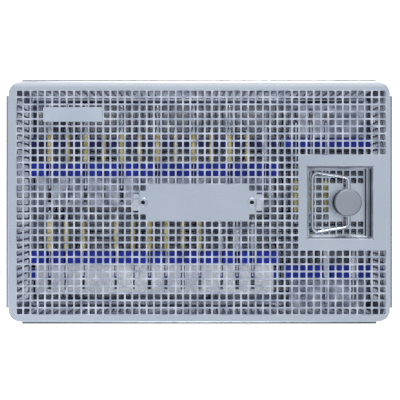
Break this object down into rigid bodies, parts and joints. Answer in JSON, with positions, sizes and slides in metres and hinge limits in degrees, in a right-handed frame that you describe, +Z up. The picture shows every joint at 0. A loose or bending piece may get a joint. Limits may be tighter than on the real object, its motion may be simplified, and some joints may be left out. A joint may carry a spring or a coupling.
{
  "type": "implant surgical kit",
  "caption": "Perforated steel instrument tray with a tilting perforated lid, a knob latch and folding bail in a sunken pocket, and rows of drills and drivers in silicone strips.",
  "frame": {"origin": "on the table, under the middle of the tray's lid outline", "axes": "+X along the length towards the latch end, +Y to the rear long side, +Z up"},
  "size_m": [0.285, 0.18, 0.052],
  "materials": {
    "sheet_steel": "satin stainless sheet",
    "bright_wire": "polished stainless wire",
    "blue_silicone": "soft, slightly shiny silicone",
    "comb_steel": "satin sheet, bare",
    "rail_steel": "satin sheet",
    "gold_coated_steel": "gold-coloured hard coating on the bodies, bare steel elsewhere",
    "tool_steel": "fine turned steel",
    "grey_metal": "matte grey",
    "plain_steel": "plain stainless",
    "foot_plastic": "matte dark plastic"
  },
  "bodies": {
    "tray": {"feet": "foot_plastic", "front_comb_plate": "comb_steel", "front_main_strip": "blue_silicone", "front_rack": "rail_steel", "front_second_strip": "blue_silicone", "keeper": "sheet_steel", "rear_comb_plate": "comb_steel", "rear_main_strip": "blue_silicone", "rear_rack": "rail_steel", "rear_second_strip": "blue_silicone", "rim_wire": "bright_wire", "side_drills": "gold_coated_steel", "side_front_comb_plate": "comb_steel", "side_front_rail": "rail_steel", "side_front_strip": "blue_silicone", "side_rear_comb_plate": "comb_steel", "side_rear_rail": "rail_steel", "side_rear_strip": "blue_silicone", "tray_corners": "sheet_steel", "tray_floor": "sheet_steel", "tray_wall_front": "sheet_steel", "tray_wall_left": "sheet_steel", "tray_wall_rear": "sheet_steel", "tray_wall_right": "sheet_steel"},
    "lid": {"lid_frame": "sheet_steel", "lid_hooks": "sheet_steel", "lid_mesh": "sheet_steel", "pocket_walls": "sheet_steel", "pocket_floor": "sheet_steel", "label_plate": "sheet_steel", "name_rivets": "plain_steel", "name_bar": "sheet_steel", "latch_base": "grey_metal", "bolt_guides": "sheet_steel"},
    "knob": {"latch_knob": "grey_metal", "latch_spindle": "plain_steel", "latch_crank": "plain_steel"},
    "bolt": {"latch_bolt": "plain_steel"},
    "bail": {"bail": "bright_wire"},
    "rear_drill_row": {"rear_drills": "gold_coated_steel"},
    "front_drill_row": {"front_drills": "gold_coated_steel"},
    "front_driver_left_body": {"front_driver_left": "tool_steel"},
    "front_driver_middle_body": {"front_driver_middle": "tool_steel"},
    "front_driver_right_body": {"front_driver_right": "tool_steel"},
    "rear_driver_body": {"rear_driver": "tool_steel"},
    "side_driver_left_body": {"side_driver_left": "tool_steel"},
    "side_driver_right_body": {"side_driver_right": "tool_steel"}
  },
  "joints": [
    {"name": "lid_hinge", "type": "hinge", "parent": "tray", "child": "lid", "pos_m": [-0.13935, 0, 0.04825], "axis": [0, -1, 0], "range_deg": [0, 95]},
    {"name": "knob_turn", "type": "hinge", "parent": "lid", "child": "knob", "pos_m": [0.11, -0.0005, 0.049], "axis": [0, 0, -1], "range_deg": [0, 90]},
    {"name": "bolt_slide", "type": "slide", "parent": "lid", "child": "bolt", "axis": [1, 0, 0], "range_m": [0, 0.00453]},
    {"name": "bail_fold", "type": "hinge", "parent": "lid", "child": "bail", "pos_m": [0.1115, -0.0005, 0.0445], "axis": [0, 1, 0], "range_deg": [0, 150]},
    {"name": "rear_drills_lift", "type": "slide", "parent": "tray", "child": "rear_drill_row", "axis": [0, 0, 1], "range_m": [0, 0.014]},
    {"name": "front_drills_lift", "type": "slide", "parent": "tray", "child": "front_drill_row", "axis": [0, 0, 1], "range_m": [0, 0.014]},
    {"name": "front_driver_left_lift", "type": "slide", "parent": "tray", "child": "front_driver_left_body", "axis": [0, 0, 1], "range_m": [0, 0.014]},
    {"name": "front_driver_middle_lift", "type": "slide", "parent": "tray", "child": "front_driver_middle_body", "axis": [0, 0, 1], "range_m": [0, 0.014]},
    {"name": "front_driver_right_lift", "type": "slide", "parent": "tray", "child": "front_driver_right_body", "axis": [0, 0, 1], "range_m": [0, 0.014]},
    {"name": "rear_driver_lift", "type": "slide", "parent": "tray", "child": "rear_driver_body", "axis": [0, 0, 1], "range_m": [0, 0.014]},
    {"name": "side_driver_left_lift", "type": "slide", "parent": "tray", "child": "side_driver_left_body", "axis": [0, 0, 1], "range_m": [0, 0.014]},
    {"name": "side_driver_right_lift", "type": "slide", "parent": "tray", "child": "side_driver_right_body", "axis": [0, 0, 1], "range_m": [0, 0.014]}
  ],
  "couplings": [
    {"joint": "bolt_slide", "follows": "knob_turn", "m_per_rad": 0.002881}
  ]
}
